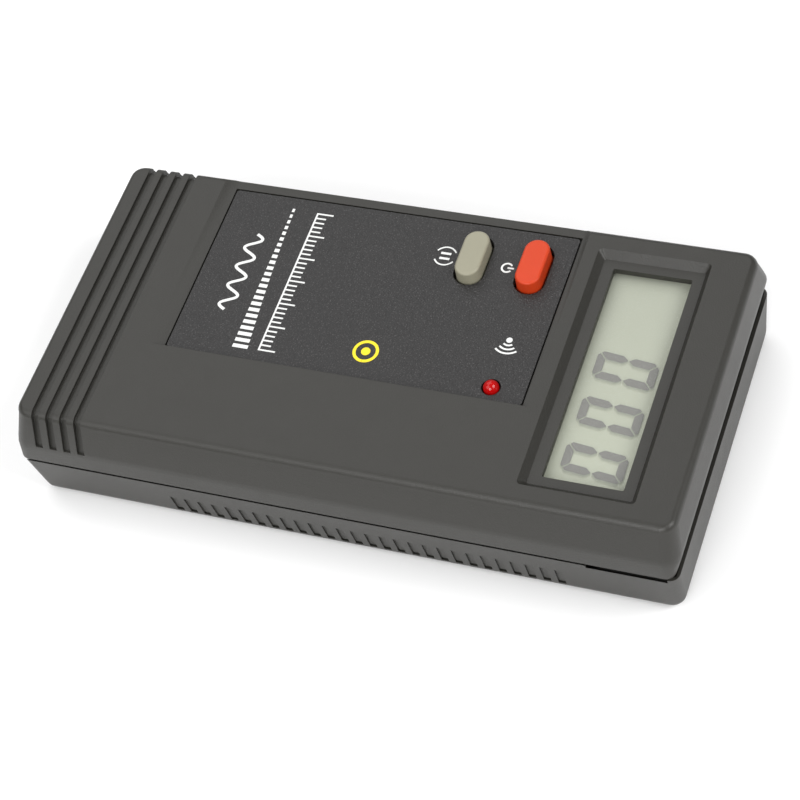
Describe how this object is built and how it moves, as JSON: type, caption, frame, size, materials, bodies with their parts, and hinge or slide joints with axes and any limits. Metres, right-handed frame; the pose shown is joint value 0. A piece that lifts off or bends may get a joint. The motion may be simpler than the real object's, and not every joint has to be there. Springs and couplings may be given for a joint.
{
  "type": "electromagnetic field meter",
  "caption": "Hand-held field meter: two-part plastic case with a recessed faceplate, display window, two push buttons, a warning lamp and a sliding battery cover.",
  "frame": {"origin": "middle of the flat back that the meter lies on", "axes": "+Y towards the display end, +Z out of the display face, +X to the right of a reader"},
  "size_m": [0.0664, 0.1286, 0.026],
  "materials": {
    "case_plastic": "fine matte grain",
    "cover_plastic": "fine matte grain",
    "label_film": "satin printed film",
    "clear_acrylic": "clear polished",
    "display_glass": "polished",
    "reflector_film": "satin film",
    "frame_plastic": "moulded",
    "strip_rubber": "matte",
    "board_laminate": "satin solder mask",
    "red_cap": "satin",
    "grey_cap": "satin",
    "switch_plastic": "moulded",
    "white_plastic": "moulded",
    "red_lens": "polished",
    "tinned_steel": "tinned",
    "screw_steel": "zinc plated",
    "chip_epoxy": "moulded epoxy",
    "sleeve_blue": "shrunk sleeve",
    "trimmer_blue": "moulded",
    "ferrite": "sintered",
    "enamel_copper": "enamelled wire",
    "battery_jacket": "lacquered sheet",
    "snap_vinyl": "soft vinyl",
    "lead_red": "wire insulation",
    "lead_black": "wire insulation",
    "foam": "open foam"
  },
  "bodies": {
    "case": {"top_case": "case_plastic", "bottom_case": "case_plastic", "faceplate_label": "label_film", "display_window": "clear_acrylic", "lcd_panel": "display_glass", "lcd_reflector": "reflector_film", "lcd_frame": "frame_plastic", "zebra_strip_lower": "strip_rubber", "zebra_strip_upper": "strip_rubber", "power_switch": "switch_plastic", "hold_switch": "switch_plastic", "alarm_led": "red_lens", "led_lead_anode": "tinned_steel", "led_lead_cathode": "tinned_steel", "main_board": "board_laminate", "meter_chip": "chip_epoxy", "amplifier_chip": "chip_epoxy", "resistor_a": "chip_epoxy", "resistor_b": "chip_epoxy", "crystal_can": "tinned_steel", "filter_capacitor": "sleeve_blue", "bypass_capacitor": "sleeve_blue", "buzzer": "frame_plastic", "trimmer_body": "trimmer_blue", "sense_core": "ferrite", "sense_coil": "enamel_copper", "battery": "battery_jacket", "battery_terminal_plus": "tinned_steel", "battery_terminal_minus": "tinned_steel", "battery_snap": "snap_vinyl", "battery_pad": "foam", "lead_red": "lead_red", "lead_black": "lead_black", "case_screw_1": "screw_steel", "case_screw_2": "screw_steel", "case_screw_3": "screw_steel", "case_screw_4": "screw_steel", "board_screw_1": "screw_steel", "board_screw_2": "screw_steel", "board_screw_3": "screw_steel", "board_screw_4": "screw_steel"},
    "power_key": {"power_button": "red_cap", "power_plunger": "white_plastic"},
    "hold_key": {"hold_button": "grey_cap", "hold_plunger": "white_plastic"},
    "cover": {"battery_cover": "cover_plastic"},
    "trimmer": {"trimmer_rotor": "white_plastic"}
  },
  "joints": [
    {"name": "power_press", "type": "slide", "parent": "case", "child": "power_key", "axis": [0, 0, 1], "range_m": [-0.0018, 0], "stiffness_N_per_m": 400, "springref_m": 0.0005},
    {"name": "hold_press", "type": "slide", "parent": "case", "child": "hold_key", "axis": [0, 0, 1], "range_m": [-0.0018, 0], "stiffness_N_per_m": 400, "springref_m": 0.0005},
    {"name": "cover_slide", "type": "slide", "parent": "case", "child": "cover", "axis": [0, -1, 0], "range_m": [0, 0.056]},
    {"name": "trimmer_turn", "type": "hinge", "parent": "case", "child": "trimmer", "pos_m": [0.023, 0.012, 0.0181], "axis": [0, 0, 1], "range_deg": [-135, 135]}
  ]
}
